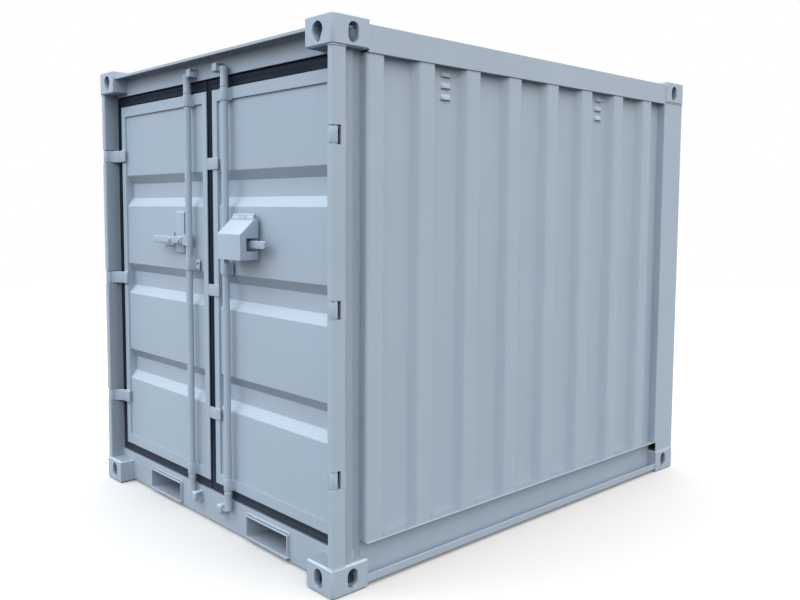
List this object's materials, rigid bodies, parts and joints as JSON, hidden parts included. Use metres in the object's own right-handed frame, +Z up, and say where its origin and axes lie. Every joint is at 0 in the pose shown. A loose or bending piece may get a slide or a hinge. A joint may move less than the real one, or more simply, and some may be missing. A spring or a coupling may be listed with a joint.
{
  "type": "shipping container",
  "caption": "Short steel shipping container with corrugated walls, corner fittings, fork pockets and two hinged cargo doors with lock bars, swing handles and a lock box.",
  "frame": {"origin": "middle of the footprint at the underside of the bottom corner fittings", "axes": "+X to the right seen from in front of the doors, +Y away from the doors along the length, +Z up"},
  "size_m": [2, 2.538, 2.2],
  "materials": {
    "paint": "satin",
    "fittings_paint": "satin",
    "castings": "satin",
    "rubber": "matte",
    "floor_boards": "matte"
  },
  "bodies": {
    "container": {"bar_keepers": "fittings_paint", "bottom_rail_left": "paint", "bottom_rail_right": "paint", "cross_members": "paint", "door_header": "paint", "door_sill": "paint", "fitting_front_left_bottom": "castings", "fitting_front_left_top": "castings", "fitting_front_right_bottom": "castings", "fitting_front_right_top": "castings", "fitting_rear_left_bottom": "castings", "fitting_rear_left_top": "castings", "fitting_rear_right_bottom": "castings", "fitting_rear_right_top": "castings", "floor": "floor_boards", "fork_pocket_left": "paint", "fork_pocket_right": "paint", "front_post_left": "paint", "front_post_right": "paint", "hinge_pins": "fittings_paint", "rear_bottom_rail": "paint", "rear_post_left": "paint", "rear_post_right": "paint", "rear_top_rail": "paint", "rear_wall": "paint", "roof": "paint", "side_wall_left": "paint", "side_wall_right": "paint", "top_rail_left": "paint", "top_rail_right": "paint"},
    "left_door": {"left_leaf_frame": "paint", "left_leaf_panel": "paint", "left_gasket": "rubber", "left_hinge_blades": "fittings_paint", "left_leaf_gear": "fittings_paint"},
    "right_door": {"right_leaf_frame": "paint", "right_leaf_panel": "paint", "right_gasket": "rubber", "right_hinge_blades": "fittings_paint", "right_leaf_gear": "fittings_paint"},
    "left_bar": {"left_bar": "fittings_paint", "left_handle": "fittings_paint"},
    "right_bar": {"right_bar": "fittings_paint", "right_handle": "fittings_paint"},
    "lock_box": {"lock_box": "fittings_paint"}
  },
  "joints": [
    {"name": "left_door_hinge", "type": "hinge", "parent": "container", "child": "left_door", "pos_m": [-0.98, -1.238, 1.11], "axis": [0, 0, -1], "range_deg": [0, 267]},
    {"name": "right_door_hinge", "type": "hinge", "parent": "container", "child": "right_door", "pos_m": [0.98, -1.238, 1.11], "axis": [0, 0, 1], "range_deg": [0, 263]},
    {"name": "left_bar_turn", "type": "hinge", "parent": "left_door", "child": "left_bar", "pos_m": [-0.157, -1.206, 1.11], "axis": [0, 0, -1], "range_deg": [-100, 0]},
    {"name": "right_bar_turn", "type": "hinge", "parent": "right_door", "child": "right_bar", "pos_m": [0.171, -1.206, 1.11], "axis": [0, 0, 1], "range_deg": [-100, 0]},
    {"name": "lock_box_lift", "type": "hinge", "parent": "right_bar", "child": "lock_box", "pos_m": [0.313, -1.199, 1.456], "axis": [1, 0, 0], "range_deg": [-95, 0]}
  ]
}
